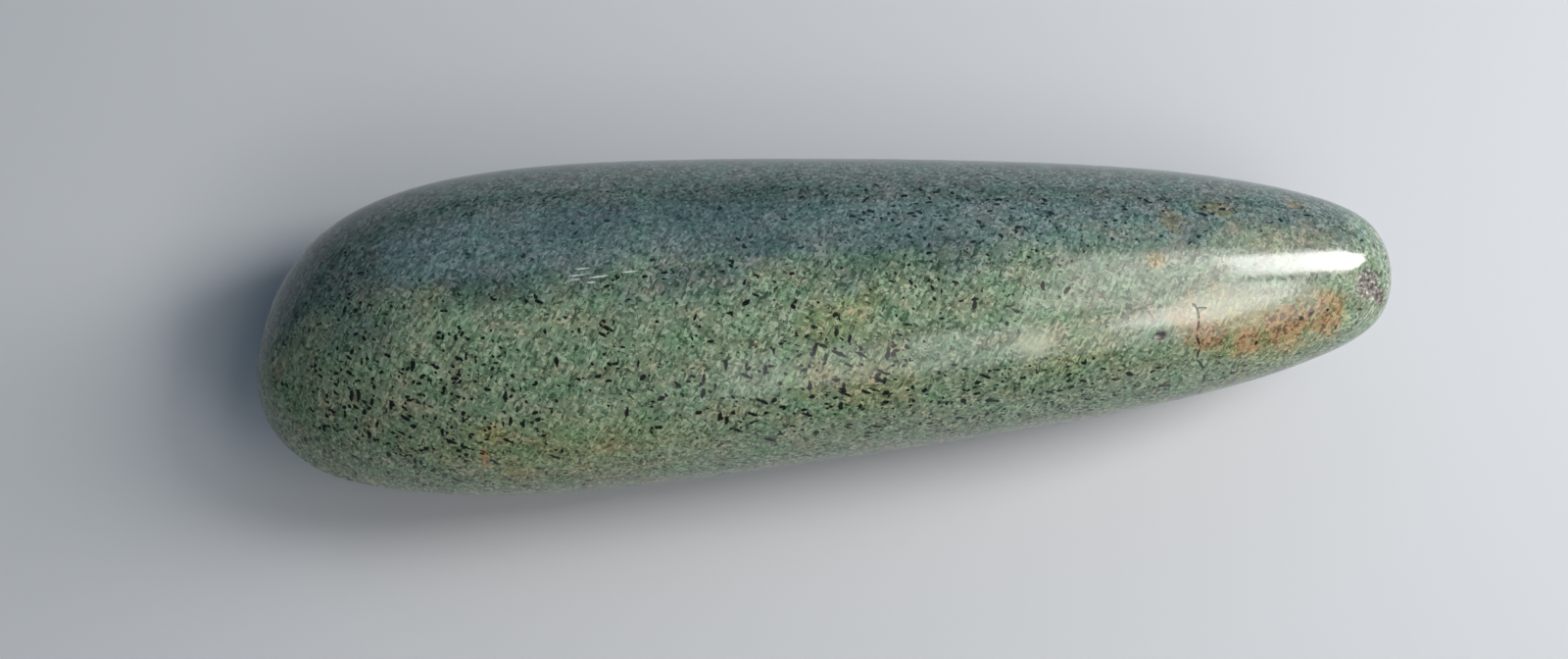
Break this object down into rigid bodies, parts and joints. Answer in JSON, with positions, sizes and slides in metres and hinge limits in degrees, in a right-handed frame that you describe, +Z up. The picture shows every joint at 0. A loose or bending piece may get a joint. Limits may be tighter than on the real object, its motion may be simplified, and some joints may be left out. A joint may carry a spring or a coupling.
{
  "type": "polished stone axe head",
  "caption": "Loose polished axe head of mottled greenstone: thick oval body, broad blunt curved edge, narrower rounded butt with a small crushed spot, lying on a broad face.",
  "frame": {"origin": "on the surface the axe head lies on, under the middle of its bounding box", "axes": "+X along the stone from the cutting edge to the butt; +Y across it; +Z up, through the thickness of the stone as it lies"},
  "size_m": [0.18, 0.0524, 0.04],
  "materials": {
    "greenstone": "ground and polished to a soft gloss; fine felted grey-green grain with black laths, rust and ochre stains, a pale spot and a crushed grey-brown scar at the butt"
  },
  "bodies": {
    "root": {"axe_head": "greenstone"}
  },
  "joints": []
}
